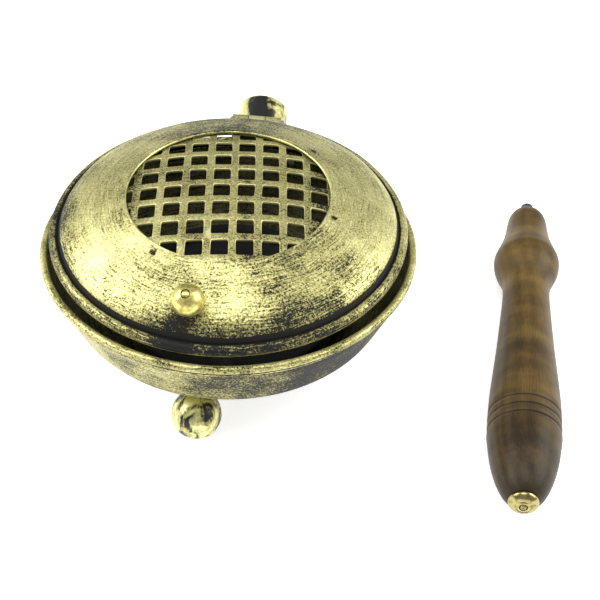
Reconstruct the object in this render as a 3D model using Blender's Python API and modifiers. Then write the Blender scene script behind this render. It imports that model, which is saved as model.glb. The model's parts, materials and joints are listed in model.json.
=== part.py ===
"""Handled charcoal burner with a hinged, domed lid, and its turned wooden handle laid beside it.

Metres, +Z up. The origin is the centre of the bowl's flat underside, on the bowl's own axis. +Y points
from that axis to the hinge and the handle socket at the back, and -Y to the knob at the front. Profiles
are written in millimetres and scaled once, in turned() and plate().
"""

import math

import bmesh
import bpy
from mathutils import Matrix, Vector

MM = 0.001
GAP = 0.3  # clearance between neighbouring pieces
SHEET = 1.0  # thickness of the bowl's and the lid's sheet metal
ROUND = 40  # facets round the bowl and the lid
MERGE = 0.000001

RIM_Z = 31.5  # top of the bowl's rolled rim
FLOOR_Z = -14.7  # the table, below the bowl's underside
RIM_R = 65.0
RIM_BEAD = 1.35
WALL = [(63.8, 28.3), (62.8, 25.5), (61.0, 21.5), (59.2, 17.5), (57.5, 13.5), (55.6, 9.5), (54.0, 7.4)]
FLANK = [(52.0, 5.6), (49.5, 4.0), (46.5, 2.5), (43.5, 1.1), (41.0, 0.25), (39.0, 0.0)]

FOOT_R = 8.5
FOOT_OUT = 48.4
FOOT_Z = -6.45
FOOT_LEAN = math.radians(24)
FOOT_TURN = math.radians(4.9)
FOOT_HOLE = 1.6
FOOT_SHANK = 1.3

PAN_FLOOR_R = 36.5
PAN_RIM_R = 40.6
PAN_DEEP = 5.2
PAN_SHEET = 0.8

LID_BEAD = 1.9
LID_BEAD_R = 59.3
LID_BEAD_Z = RIM_Z + 5.75
LID_GROOVE = (57.9, RIM_Z + 7.55)
LID_DOME = [(34.2, 20.4), (39.0, 18.8), (44.0, 16.9), (49.0, 14.75), (52.0, 13.4)]
LID_DOME += [(54.5, 12.0), (56.6, 10.0)]
LID_FOOT = (57.3, 8.7)
LID_SLOPE = (LID_DOME[0][1] - LID_DOME[1][1]) / (LID_DOME[1][0] - LID_DOME[0][0])
LID_TILT = math.radians(2.9)  # the closed lid stands higher at the hinge than at the knob
LID_TILT_Z = RIM_Z + 5.5

GRILLE_R = 37.5
GRILLE_OPEN_R = 36.0
GRILLE_CROWN = RIM_Z + 22.8
GRILLE_BOW = 0.0031
GRILLE_TURN = math.radians(7.3)
GRILLE_SHEET = 1.0
HOLE_PITCH = (8.18, 8.68)
HOLE_SIZE = (5.5, 5.8)
HOLE_START = (-2.26, -1.36)

KNOB_TURN = math.radians(4.9)
KNOB_LEAN = math.radians(24)
KNOB_FOOT = (50.0, RIM_Z + 14.3)
KNOB_R = 5.2
KNOB_UP = 5.75
KNOB_FLAT = 1.35
KNOB_BORE = 1.5
KNOB_SHANK = 1.2

HINGE_Y = 68.0
HINGE_Z = RIM_Z + 4.3
BARREL_R = 2.5
PIN_HOLE_R = 1.3
PIN_R = 1.0
HINGE_WIDE = 19.0
KNUCKLE_HALF = 3.0
LEAF_WIDE = 15.0

SADDLE_SHEET = 1.5
SADDLE_HALF = 17.5
SADDLE_TOP = RIM_Z - 3.6
SADDLE_LOW = RIM_Z - 22.0

SOCKET_MOUTH = (0.0, 88.8, RIM_Z - 3.2)
SOCKET_RISE = math.radians(19)
SOCKET_R = 9.75
SOCKET_BORE = 8.75
SOCKET_LONG = 34.0
NUT_IN = (12.0, 16.5)
STUD_HOLE_R = 2.8

HANDLE_BUTT = (104.26, -74.86)
HANDLE_TURN = math.radians(2.15)
HANDLE_REST_R = 12.4
GRIP_LONG = 149.5
GRIP_RINGS = (35.4, 31.65, 27.9)
GRIP_BORE = 2.8
ROD_R = 2.5
ROD_OUT = 6.5
ROD_TAIL_R = 1.1
CAP_R = 4.9
CAP_HIGH = 2.6

GOLD = ((0.46, 0.40, 0.16), 0.42, 0.75)
BLACK = ((0.02, 0.022, 0.026), 0.55, 0.6)
STEEL = ((0.42, 0.42, 0.38), 0.35, 1.0)
BRASS = ((0.62, 0.48, 0.16), 0.22, 1.0)
WOOD = ((0.16, 0.085, 0.032), 0.45, 0.0)


def clear_scene():
    for obj in list(bpy.data.objects):
        bpy.data.objects.remove(obj, do_unlink=True)


def collection(name):
    made = bpy.data.collections.new(name)
    bpy.context.scene.collection.children.link(made)
    return made


def material(name, look):
    colour, roughness, metallic = look
    made = bpy.data.materials.new(name)
    made.use_nodes = True
    shader = made.node_tree.nodes["Principled BSDF"]
    shader.inputs["Base Color"].default_value = (*colour, 1.0)
    shader.inputs["Roughness"].default_value = roughness
    shader.inputs["Metallic"].default_value = metallic
    made.diffuse_color = (*colour, 1.0)
    return made


def add(name, mesh, look):
    """A part with its own material, in the collection of parts."""
    part = bpy.data.objects.new(name, mesh)
    mesh.materials.append(material(name + "_finish", look))
    PARTS.objects.link(part)
    return part


def helper(obj):
    """Marks an object as a cutter: never rendered, drawn as a wire."""
    for owner in list(obj.users_collection):
        owner.objects.unlink(obj)
    CUTTERS.objects.link(obj)
    obj.hide_render = True
    obj.display_type = "WIRE"
    return obj


def cut(part, cutter, operation="DIFFERENCE"):
    modifier = part.modifiers.new(cutter.name, "BOOLEAN")
    modifier.operation = operation
    modifier.solver = "EXACT"
    modifier.object = cutter


def ring_mesh(name, profile, closed):
    points = [(r * MM, 0.0, z * MM) for r, z in profile]
    edges = [(i, i + 1) for i in range(len(points) - 1)]
    if closed:
        edges.append((len(points) - 1, 0))
    mesh = bpy.data.meshes.new(name)
    mesh.from_pydata(points, edges, [])
    return mesh


def turned(name, profile, look, steps=ROUND, closed=False):
    """A turned piece: (radius, height) pairs in millimetres, down the outer side, turned about local Z."""
    part = add(name, ring_mesh(name, profile, closed), look)
    screw = part.modifiers.new("Turn", "SCREW")
    screw.angle = 2 * math.pi
    screw.screw_offset = 0.0
    screw.steps = steps
    screw.render_steps = steps
    screw.use_merge_vertices = True
    screw.merge_threshold = MERGE
    screw.use_smooth_shade = True
    return part


def arc(centre, radius, start, end, steps):
    """Points on a circle, with the angles in degrees counted from +X towards +Z."""
    turn = [math.radians(start + (end - start) * i / steps) for i in range(steps + 1)]
    return [(centre[0] + radius * math.cos(a), centre[1] + radius * math.sin(a)) for a in turn]


def inward(profile, distance):
    """The profile moved to its own right-hand side, which is inside for a run down the outer side."""
    moved = []
    for i, (r, z) in enumerate(profile):
        before = profile[max(i - 1, 0)]
        after = profile[min(i + 1, len(profile) - 1)]
        run = Vector((after[0] - before[0], after[1] - before[1])).normalized()
        moved.append((r + run.y * distance, z - run.x * distance))
    return moved


def place(part, origin, direction):
    """Stands a part at a point, in millimetres, with its local Z along a direction."""
    part.location = Vector(origin) * MM
    part.rotation_euler = Vector(direction).to_track_quat("Z", "Y").to_euler()
    return part


def drill(name, origin, direction, radius, start, end):
    """A cylindrical cutter along a direction, from one distance to another."""
    along = Vector(direction).normalized()
    middle = Vector(origin) + along * (start + end) / 2
    bpy.ops.mesh.primitive_cylinder_add(vertices=16, radius=radius * MM, depth=(end - start) * MM)
    cutter = bpy.context.object
    cutter.name = name
    return helper(place(cutter, middle, along))


def block(name, low, high):
    """A box cutter between two corners in millimetres."""
    low, high = Vector(low), Vector(high)
    bpy.ops.mesh.primitive_cube_add(size=1.0, location=(low + high) / 2 * MM)
    cutter = bpy.context.object
    cutter.name = name
    cutter.scale = (high - low) * MM
    bpy.ops.object.transform_apply(location=False, rotation=False, scale=True)
    return helper(cutter)


def plate(name, loops, width, look):
    """A flat outline in the YZ plane, (y, z) in millimetres, given its width along X."""
    curve = bpy.data.curves.new(name, "CURVE")
    curve.dimensions = "2D"
    curve.fill_mode = "BOTH"
    curve.extrude = width * MM / 2
    for loop in loops:
        spline = curve.splines.new("POLY")
        spline.points.add(len(loop) - 1)
        spline.use_cyclic_u = True
        for point, (y, z) in zip(spline.points, loop):
            point.co = (y * MM, z * MM, 0.0, 1.0)
    outline = bpy.data.objects.new(name + "_outline", curve)
    CUTTERS.objects.link(outline)
    graph = bpy.context.evaluated_depsgraph_get()
    mesh = bpy.data.meshes.new_from_object(outline.evaluated_get(graph))
    bpy.data.objects.remove(outline, do_unlink=True)
    weld(mesh)
    mesh.transform(Matrix(((0, 0, 1, 0), (1, 0, 0, 0), (0, 1, 0, 0), (0, 0, 0, 1))))
    mesh.materials.clear()
    return add(name, mesh, look)


def weld(mesh):
    work = bmesh.new()
    work.from_mesh(mesh)
    bmesh.ops.remove_doubles(work, verts=work.verts, dist=MERGE)
    bmesh.ops.recalc_face_normals(work, faces=work.faces)
    work.to_mesh(mesh)
    work.free()


def ride_on(empty, *parts):
    """Parents parts to an empty without moving them."""
    bpy.context.view_layer.update()
    for part in parts:
        part.parent = empty
        part.matrix_parent_inverse = empty.matrix_world.inverted()


def axis_empty(name, origin, direction=(0, 0, 1)):
    empty = bpy.data.objects.new(name, None)
    empty.empty_display_size = 10 * MM
    PARTS.objects.link(empty)
    return place(empty, origin, direction)


def polar(angle, lean):
    """A direction at an angle round the bowl's axis, leaning outwards from straight up."""
    out = math.sin(lean)
    return Vector((out * math.cos(angle), out * math.sin(angle), math.cos(lean)))


def bowl_outside():
    bead = (RIM_R - RIM_BEAD, RIM_Z - RIM_BEAD)
    return arc(bead, RIM_BEAD, 215, -60, 7), WALL + FLANK


def make_bowl():
    bead, outside = bowl_outside()
    inside = inward(outside, SHEET)[::-1]
    profile = [(0.0, SHEET)] + inside + bead + outside + [(0.0, 0.0)]
    return turned("bowl", profile, GOLD)


def foot_angle(number):
    return -math.pi / 2 - FOOT_TURN + number * math.tau / 3


def make_foot(name, number, bowl, floor):
    angle = foot_angle(number)
    centre = Vector((FOOT_OUT * math.cos(angle), FOOT_OUT * math.sin(angle), FOOT_Z))
    up = polar(angle + math.pi, FOOT_LEAN)
    start = math.degrees(math.acos(FOOT_HOLE / FOOT_R))
    mouth = FOOT_R * math.sin(math.radians(start))
    ball = [(0.0, mouth - 7), (FOOT_HOLE, mouth - 7)] + arc((0, 0), FOOT_R, start, -90, 11)
    foot = place(turned("foot_" + name, ball, GOLD, 20), centre, up)
    cut(foot, floor)
    head, top = 2.8, 10.35
    dome = [(0.0, top + 1.4), (1.4, top + 1.25), (2.3, top + 0.75), (head, top)]
    shank = [(FOOT_SHANK, top), (FOOT_SHANK, 1.9), (0.0, 1.9)]
    rivet = place(turned("foot_rivet_" + name, dome + shank, STEEL, 16), centre, up)
    cut(bowl, drill("foot_hole_" + name, centre, up, FOOT_HOLE, 7.5, 12.5))
    return [foot, rivet]


def make_pan():
    low = SHEET + GAP
    outside = [(PAN_RIM_R, low + PAN_DEEP), (38.2, low + 2.4), (37.5, low + 0.6), (PAN_FLOOR_R, low)]
    inside = [(0.0, low + PAN_SHEET)] + inward(outside, PAN_SHEET)[::-1]
    return turned("ember_pan", inside + outside + [(0.0, low)], BLACK, 40)


def lid_outside():
    dome = [(r, RIM_Z + z) for r, z in LID_DOME + [LID_FOOT]]
    bead = arc((LID_BEAD_R, LID_BEAD_Z), LID_BEAD, 150, -150, 8)
    return dome, bead


def make_lid():
    dome, bead = lid_outside()
    outside = dome + [LID_GROOVE] + bead
    neck = (LID_GROOVE[0] - SHEET, LID_GROOVE[1] - SHEET * 0.6)
    inside = [neck] + inward(dome, SHEET)[::-1]
    inside[-1] = (LID_DOME[0][0], RIM_Z + LID_DOME[0][1] - SHEET)
    return turned("lid", outside + inside, GOLD, closed=True)


def grille_top(radius):
    """Height of the grille's upper face: a shallow dome that tucks in under the lid's opening."""
    dome = GRILLE_CROWN - GRILLE_BOW * radius * radius
    tuck = RIM_Z + LID_DOME[0][1] - LID_SLOPE * (radius - LID_DOME[0][0]) - SHEET - GAP - 0.1
    return min(dome, tuck)


def hole_centres():
    reach = range(-5, 6)
    for column in reach:
        for row in reach:
            u = HOLE_START[0] + column * HOLE_PITCH[0]
            v = HOLE_START[1] + row * HOLE_PITCH[1]
            if math.hypot(u, v) < GRILLE_OPEN_R + 1.5:
                yield u, v


def round_slab(name, radius, height):
    slab = bmesh.new()
    sizes = {"radius1": radius * MM, "radius2": radius * MM, "depth": height * MM}
    bmesh.ops.create_cone(slab, cap_ends=True, segments=ROUND, **sizes)
    mesh = bpy.data.meshes.new(name)
    slab.to_mesh(mesh)
    slab.free()
    return mesh


def make_grille():
    """A flat pierced disc, bent to its dome point by point once the holes are cut."""
    disc = add("grille", round_slab("grille", GRILLE_R, GRILLE_SHEET), GOLD)
    holes = bmesh.new()
    for u, v in hole_centres():
        size = Matrix.Diagonal((HOLE_SIZE[0] * MM, HOLE_SIZE[1] * MM, 6 * MM, 1))
        bmesh.ops.create_cube(holes, matrix=Matrix.Translation((u * MM, v * MM, 0)) @ size)
    mesh = bpy.data.meshes.new("grille_holes")
    holes.to_mesh(mesh)
    holes.free()
    cutter = bpy.data.objects.new("grille_holes", mesh)
    CUTTERS.objects.link(cutter)
    helper(cutter)
    round_edge = bpy.data.objects.new("grille_open_round", round_slab("open_round", GRILLE_OPEN_R, 5))
    CUTTERS.objects.link(round_edge)
    helper(round_edge)
    cut(cutter, round_edge, "INTERSECT")
    cut(disc, cutter)
    bpy.context.view_layer.update()
    graph = bpy.context.evaluated_depsgraph_get()
    bent = bpy.data.meshes.new_from_object(disc.evaluated_get(graph))
    work = bmesh.new()
    work.from_mesh(bent)
    bmesh.ops.triangulate(work, faces=work.faces)
    for vertex in work.verts:
        radius = math.hypot(vertex.co.x, vertex.co.y) / MM
        upper = vertex.co.z > 0
        vertex.co.z = (grille_top(radius) - (0 if upper else GRILLE_SHEET)) * MM
    work.to_mesh(bent)
    work.free()
    disc.modifiers.clear()
    disc.data = bent
    disc.rotation_euler = (0, 0, GRILLE_TURN)
    return disc


def make_knob(lid):
    angle = -math.pi / 2 - KNOB_TURN
    foot = Vector((KNOB_FOOT[0] * math.cos(angle), KNOB_FOOT[0] * math.sin(angle), KNOB_FOOT[1]))
    up = polar(angle, KNOB_LEAN)
    high = math.degrees(math.acos(KNOB_BORE / KNOB_R))
    low = -math.degrees(math.asin((KNOB_UP - KNOB_FLAT) / KNOB_R))
    ball = arc((0, KNOB_UP), KNOB_R, high, low, 11) + [(KNOB_BORE, KNOB_FLAT)]
    knob = turned("knob", ball, GOLD, 24, closed=True)
    ring = [(KNOB_BORE, 1.05), (2.6, 1.05), (2.6, GAP), (KNOB_BORE, GAP)]
    collar = turned("knob_collar", ring, BLACK, 16, closed=True)
    ring = [(KNOB_BORE, -1.4), (3.2, -1.4), (3.2, -2.2), (KNOB_BORE, -2.2)]
    washer = turned("knob_washer", ring, STEEL, 16, closed=True)
    tip = KNOB_UP + KNOB_R
    shank = [(0.0, tip + 0.1), (0.8, tip), (KNOB_SHANK, tip - 0.4), (KNOB_SHANK, -2.5)]
    head = [(2.4, -2.5), (2.4, -3.3), (1.6, -3.9), (0.0, -3.9)]
    screw = turned("knob_screw", shank + head, STEEL, 16)
    for piece in (knob, collar, washer, screw):
        place(piece, foot, up)
    hole = drill("knob_hole", foot, up, KNOB_BORE, -3, 2)
    cut(lid, hole)
    return [knob, collar, washer, screw, hole]


def barrel_arc(start, end):
    return arc((HINGE_Y, HINGE_Z), BARREL_R, start, end, 14)


def tilted(y, z):
    """A point of the level lid's middle plane, moved to where the tilted lid has it."""
    up = z - LID_TILT_Z
    turn = math.cos(LID_TILT), math.sin(LID_TILT)
    return (y * turn[0] - up * turn[1], LID_TILT_Z + y * turn[1] + up * turn[0])


def leaf_outline():
    """The strap from its barrel over the rim, and up along the inside of the lid's wall."""
    top = [(57.0, RIM_Z + 2.4), (56.4, RIM_Z + 3.6)]
    inside_lid = [(55.6, 6.0), (52.4, 10.7), (51.6, 9.8), (54.5, 5.5)]
    under = [(55.0, RIM_Z + 2.2), (56.4, RIM_Z + 0.4), (64.6, RIM_Z + 0.4)]
    return barrel_arc(-135, 178) + top + [tilted(y, RIM_Z + z) for y, z in inside_lid] + under


def make_lid_leaf(lid):
    """The strap under the lid, with its two rivets. Its foot rests just over the bowl's rim."""
    pin_hole = arc((HINGE_Y, HINGE_Z), PIN_HOLE_R, 0, -330, 11)
    leaf = plate("lid_hinge_leaf", [leaf_outline(), pin_hole], LEAF_WIDE, STEEL)
    edge = HINGE_Y - BARREL_R - 0.4
    for side, name in ((-1, "left"), (1, "right")):
        ends = sorted((side * KNUCKLE_HALF, side * LEAF_WIDE))
        cut(leaf, block("knuckle_" + name, (ends[0], edge, RIM_Z - 3), (ends[1], edge + 9, RIM_Z + 9)))
    slope = math.radians(44)
    along = Vector((0, math.sin(slope), math.cos(slope)))
    rivets = []
    for side, name in ((-1, "left"), (1, "right")):
        seat = Vector((side * 5.0, math.sqrt(56.9**2 - 25.0), RIM_Z + 9.5))
        head = [(0.0, 0.95), (1.1, 0.85), (1.7, 0.35), (1.0, 0.35)]
        tail = [(1.0, -4.75), (1.5, -4.75), (1.4, -5.2), (0.0, -5.3)]
        rivet = place(turned("lid_rivet_" + name, head + tail, STEEL, 12), seat, along)
        hole = drill("lid_rivet_hole_" + name, seat, along, 1.3, -6, 2)
        cut(lid, hole)
        cut(leaf, hole)
        rivets += [rivet, hole]
    return leaf, rivets


def wall_radius(height):
    """Outer radius of the bowl's wall at a height."""
    for (r0, z0), (r1, z1) in zip(WALL + FLANK, (WALL + FLANK)[1:]):
        if z1 <= height <= z0:
            return r0 + (r1 - r0) * (height - z0) / (z1 - z0)
    return WALL[0][0]


def make_bracket(bowl):
    """The hinge bracket: a saddle on the bowl's back wall, a neck behind the rim, and two knuckles."""
    levels = [SADDLE_TOP, 21.5, 17.5, 13.5, SADDLE_LOW]
    face = [(wall_radius(z) + GAP + 0.1 + SADDLE_SHEET, z) for z in levels]
    saddle = turned("hinge_bracket", face + inward(face, SADDLE_SHEET)[::-1], GOLD, closed=True)
    cut(saddle, block("saddle_part", (-SADDLE_HALF, 30, -5), (SADDLE_HALF, 80, 50)), "INTERSECT")
    back = [(67.9, RIM_Z - 1.0), (66.9, RIM_Z - 3.2), (65.0, RIM_Z - 7.8)]
    front = [(63.9, RIM_Z - 7.8), (65.3, RIM_Z - 3.4), (65.9, RIM_Z - 2.0)]
    neck = plate("hinge_neck", [barrel_arc(230, -60) + back + front], HINGE_WIDE, GOLD)
    helper(neck)
    cut(saddle, neck, "UNION")
    clear = KNUCKLE_HALF + GAP
    middle = block("knuckle_middle", (-clear, 60, HINGE_Z - BARREL_R - GAP), (clear, 75, 50))
    cut(saddle, middle)
    cut(saddle, drill("pin_hole", (0, HINGE_Y, HINGE_Z), (1, 0, 0), PIN_HOLE_R, -15, 15))
    pieces = [saddle]
    tilt = math.atan2(WALL[1][0] - WALL[4][0], WALL[1][1] - WALL[4][1])
    for side, name in ((-1, "left"), (1, "right")):
        for level, height in (("upper", RIM_Z - 7.5), ("lower", RIM_Z - 17.0)):
            angle = math.pi / 2 - side * math.radians(13)
            radius = wall_radius(height)
            seat = Vector((radius * math.cos(angle), radius * math.sin(angle), height))
            out = polar(angle, math.pi / 2 + tilt)
            label = level + "_" + name
            pieces.append(make_bracket_rivet(label, seat, out, bowl, saddle))
    return pieces


def make_bracket_rivet(label, seat, out, bowl, saddle):
    head = [(0.0, 3.5), (1.4, 3.3), (2.2, 2.4), (1.2, 2.4)]
    tail = [(1.2, -1.5), (2.2, -1.5), (1.8, -2.2), (0.0, -2.4)]
    rivet = place(turned("bracket_rivet_" + label, head + tail, STEEL, 12), seat, out)
    hole = drill("bracket_hole_" + label, seat, out, 1.5, -3.5, 4)
    cut(bowl, hole)
    cut(saddle, hole)
    return rivet


def make_pin():
    half = HINGE_WIDE / 2
    head = [(0.0, half + 1.3), (1.2, half + 1.1), (1.7, half + GAP), (PIN_R, half + GAP)]
    tail = [(PIN_R, -half - GAP), (1.5, -half - GAP), (1.2, -half - 1.0), (0.0, -half - 1.2)]
    return place(turned("hinge_pin", head + tail, STEEL, 12), (0, HINGE_Y, HINGE_Z), (1, 0, 0))


def make_socket():
    """The inclined tube for the handle's tenon, its near end shaped to the saddle, and its nut."""
    along = Vector((0, -math.cos(SOCKET_RISE), -math.sin(SOCKET_RISE)))
    wall = [(SOCKET_BORE, SOCKET_LONG), (SOCKET_R, SOCKET_LONG), (SOCKET_R, 0.5)]
    mouth = [(SOCKET_R - 0.4, 0.0), (SOCKET_BORE, 0.0)]
    tube = place(turned("socket_tube", wall + mouth, GOLD, 28, closed=True), SOCKET_MOUTH, along)
    clearance = GAP * 3 + SADDLE_SHEET
    near = [(wall_radius(z) + clearance, z) for z in (19.5, 15.5, 11.5, 8.0, 5.0, 2.0)]
    top = [(0.0, 60.0), (69.0, 60.0), (69.0, RIM_Z - 3.0), (66.6, RIM_Z - 6.5)]
    cut(tube, helper(turned("socket_near_end", top + near + [(0.0, 0.0)], BLACK)))
    outer, hole = SOCKET_BORE - GAP, STUD_HOLE_R
    ring = [(hole, NUT_IN[1]), (outer, NUT_IN[1]), (outer, NUT_IN[0]), (hole, NUT_IN[0])]
    nut = turned("socket_nut", ring, STEEL, 24, closed=True)
    return [tube, place(nut, SOCKET_MOUTH, along)]


def grip_profile():
    """From the tip to the butt: tenon, flare, bulge, neck, belly with three scored rings, rounded end."""
    tip = [(GRIP_BORE, GRIP_LONG), (4.6, 149.3), (6.3, 147.8), (7.3, 145.2), (7.85, 141.5), (8.35, 136.5)]
    flare = [(8.95, 132.3), (9.8, 128.4), (10.8, 124.8), (11.9, 121.5)]
    bulge = [(12.4, 118.2), (12.1, 114.6), (10.9, 110.6), (9.6, 107.2), (8.9, 103.9)]
    neck = [(8.65, 99.5), (8.9, 92.0), (10.2, 69.7), (11.36, 54.0), (12.0, 45.0), (12.25, 38.5)]
    rings = []
    for height in GRIP_RINGS:
        rings += [(12.35, height + 0.55), (11.8, height), (12.4, height - 0.55)]
    butt = [(12.1, 24.0), (11.24, 16.5), (9.8, 9.9), (8.2, 5.2), (6.8, 2.3), (5.3, 0.3), (4.9, 0.0)]
    return tip + flare + bulge + neck + rings + butt + [(GRIP_BORE, 0.0)]


def make_handle():
    """The handle lies on the table with its stud away from the front, on its bulge and its belly."""
    butt = (*HANDLE_BUTT, FLOOR_Z + HANDLE_REST_R)
    along = (math.sin(HANDLE_TURN), math.cos(HANDLE_TURN), 0)
    grip = turned("handle_grip", grip_profile(), WOOD, 24, closed=True)
    stud = GRIP_LONG + ROD_OUT
    rod = [(0.0, stud), (1.7, stud), (ROD_R, stud - 0.9), (ROD_R, 2.0), (ROD_TAIL_R, 2.0)]
    tail = [(ROD_TAIL_R, -CAP_HIGH + 0.1), (0.6, -CAP_HIGH - 0.5), (0.0, -CAP_HIGH - 0.6)]
    bolt = turned("handle_rod", rod + tail, STEEL, 16)
    bore = ROD_TAIL_R + GAP
    high = -GAP - CAP_HIGH
    dome = [(bore, -GAP), (CAP_R, -GAP), (CAP_R, -0.8), (4.5, -1.6), (3.2, -2.5), (bore, high)]
    cap = turned("butt_cap", dome, BRASS, 24, closed=True)
    pieces = [grip, bolt, cap]
    for piece in pieces:
        place(piece, butt, along)
    ride_on(axis_empty("handle_turn", butt, along), *pieces)


def make_burner():
    floor = block("table", (-90, -90, FLOOR_Z - 20), (90, 110, FLOOR_Z))
    bowl = make_bowl()
    base = [bowl]
    for number, name in enumerate(("front", "right", "left")):
        base += make_foot(name, number, bowl, floor)
    base += make_bracket(bowl)
    base += make_socket() + [make_pin()]
    ride_on(axis_empty("burner_axis", (0, 0, 0)), *base)
    ride_on(axis_empty("pan_lift", (0, 0, SHEET + GAP)), make_pan())
    lid = make_lid()
    leaf, rivets = make_lid_leaf(lid)
    tilt = axis_empty("lid_tilt", (0, 0, LID_TILT_Z))
    tilt.rotation_euler = (0, 0, 0)
    ride_on(tilt, lid, make_grille(), *make_knob(lid), *rivets)
    tilt.rotation_euler = (LID_TILT, 0, 0)
    ride_on(axis_empty("lid_hinge", (0, HINGE_Y, HINGE_Z), (1, 0, 0)), tilt, leaf)


clear_scene()
PARTS = collection("handled_charcoal_burner")
CUTTERS = collection("cutters")
make_burner()
make_handle()
bpy.context.view_layer.update()
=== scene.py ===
"""Looks of the handled charcoal burner: fine meshes and dry-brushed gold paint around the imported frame.

The frame is in metres, +Z up. Sizes here are in millimetres, which MM turns into metres, and profiles are
(radius, height) pairs about a piece's local Z.
"""

import json
import math

import bmesh
import bpy
from mathutils import Matrix, Vector, geometry, noise


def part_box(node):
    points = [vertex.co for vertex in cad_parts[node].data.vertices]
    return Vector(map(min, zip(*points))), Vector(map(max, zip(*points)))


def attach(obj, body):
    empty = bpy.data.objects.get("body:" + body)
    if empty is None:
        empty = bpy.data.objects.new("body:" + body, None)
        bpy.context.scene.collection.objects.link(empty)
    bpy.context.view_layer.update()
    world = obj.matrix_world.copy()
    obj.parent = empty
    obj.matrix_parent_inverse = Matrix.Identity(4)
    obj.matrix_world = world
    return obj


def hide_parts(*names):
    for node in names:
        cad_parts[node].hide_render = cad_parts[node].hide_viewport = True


noise.seed_set(1)  # without it, noise_vector is different on each run
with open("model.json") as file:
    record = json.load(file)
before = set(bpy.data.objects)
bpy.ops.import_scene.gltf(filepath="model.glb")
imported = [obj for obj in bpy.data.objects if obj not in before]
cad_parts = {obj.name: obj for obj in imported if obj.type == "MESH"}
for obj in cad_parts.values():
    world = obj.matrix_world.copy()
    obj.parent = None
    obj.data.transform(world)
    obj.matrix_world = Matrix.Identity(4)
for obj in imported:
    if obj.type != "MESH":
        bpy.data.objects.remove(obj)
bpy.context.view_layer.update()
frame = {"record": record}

MM = 0.001
ROUND = 224  # facets round the bowl and the lid
SMALL_ROUND = 72
SHARP = math.radians(38)

RIM_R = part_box("bowl")[1].x / MM
RIM_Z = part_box("bowl")[1].z / MM
FLOOR_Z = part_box("foot_front")[0].z / MM
SHEET = 1.0
JOINTS = {joint["name"]: joint for joint in frame["record"]["behaviour"]["joints"]}
HINGE = Vector(JOINTS["lid_hinge"]["pos_m"]) / MM
SCREW_AXIS = Vector(JOINTS["handle_turn"]["axis"]).normalized()
BUTT = Vector(JOINTS["handle_turn"]["pos_m"]) / MM
UP = Vector((0, 0, 1))

WALL = [(63.75, 28.0), (62.8, 25.5), (61.0, 21.5), (59.2, 17.5), (57.5, 13.5), (55.6, 9.5), (54.0, 7.4)]
FLANK = [(52.0, 5.6), (49.5, 4.0), (46.5, 2.5), (43.5, 1.1), (41.0, 0.25), (39.0, 0.0)]
DOME = [(34.8, 20.6), (39.0, 18.9), (44.0, 16.95), (49.0, 14.8), (52.0, 13.4), (54.5, 11.9), (56.5, 10.1)]
DOME_FOOT = [(57.3, 8.9), (57.6, 8.3), (57.8, 7.9), (57.95, 7.6)]
BEAD_R = 59.3
BEAD_Z = RIM_Z + 5.75
BEAD = 1.9
LID_TILT = math.radians(2.9)  # the closed lid stands higher at the hinge than at the knob
LID_TILT_Z = RIM_Z + 5.5
OPEN_R = 34.2
OPEN_Z = 20.4  # the opening's edge, over the rim
LIP_R = 1.35  # half the thickness of the bowl's rolled lip

GRILLE_R = 37.5
GRILLE_OPEN_R = 36.0
GRILLE_CROWN = RIM_Z + 22.8
GRILLE_BOW = 0.0031
GRILLE_TURN = math.radians(7.3)
HOLE_PITCH = (8.18, 8.68)
HOLE_HALF = (2.8, 2.95)
HOLE_START = (-2.26, -1.36)

KNOB_TURN = math.radians(4.9)
KNOB_LEAN = math.radians(24)
KNOB_FOOT = (50.0, RIM_Z + 14.3)
FOOT_TURN = math.radians(4.9)
FOOT_LEAN = math.radians(24)
FOOT_OUT = 48.4
FOOT_Z = -6.45
FOOT_R = 8.5
SOCKET_MOUTH = Vector((0.0, 88.8, RIM_Z - 3.2))
SOCKET_RISE = math.radians(19)
SOCKET_BORE_R = 8.75
SOCKET_OUTER_R = 9.75
SOCKET_LONG = 34.0
SOCKET_ROUNDED = 1.2  # how far the mouth's rounding reaches down the tube
SOCKET_DRAWN = 30.0  # length of the tube before its end is fitted to the wall
KNUCKLE_R = 2.5
PIN_HOLE_R = 1.3
GRIP_LONG = 149.5
ROD_OUT = 6.5
GRIP_RINGS = (35.4, 31.65, 27.9)

CAMERA_PLACE = (0.05337, -0.32347, 0.28957)  # metres
CAMERA_FORWARD = (-0.06523, 0.75094, -0.65714)
CAMERA_ROLL = math.radians(2.168)
CAMERA_LENS = 72.0
WORLD_LIGHT = 0.38
FLOOR_GLOW = 0.62


# ---------------------------------------------------------------- mesh helpers

def arc(centre, radius, start, end, steps):
    """Points on a circle, with the angles in degrees counted from +X towards +Z."""
    turn = [math.radians(start + (end - start) * i / steps) for i in range(steps + 1)]
    return [(centre[0] + radius * math.cos(a), centre[1] + radius * math.sin(a)) for a in turn]


def smooth(points, steps=5):
    """A Catmull-Rom curve through an outline's points."""
    ends = [points[0]] + list(points) + [points[-1]]
    made = []
    for p0, p1, p2, p3 in zip(ends, ends[1:], ends[2:], ends[3:]):
        for i in range(steps):
            t = i / steps
            made.append(tuple(
                0.5 * (2 * b + (c - a) * t + (2 * a - 5 * b + 4 * c - d) * t * t
                       + (3 * b - a - 3 * c + d) * t ** 3)
                for a, b, c, d in zip(p0, p1, p2, p3)))
    return made + [tuple(points[-1])]


def inward(profile, distance):
    """The profile moved to its own right-hand side, which is inside for a run down the outer side."""
    moved = []
    for i, (r, z) in enumerate(profile):
        before = profile[max(i - 1, 0)]
        after = profile[min(i + 1, len(profile) - 1)]
        run = Vector((after[0] - before[0], after[1] - before[1])).normalized()
        moved.append((r + run.y * distance, z - run.x * distance))
    return moved


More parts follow.
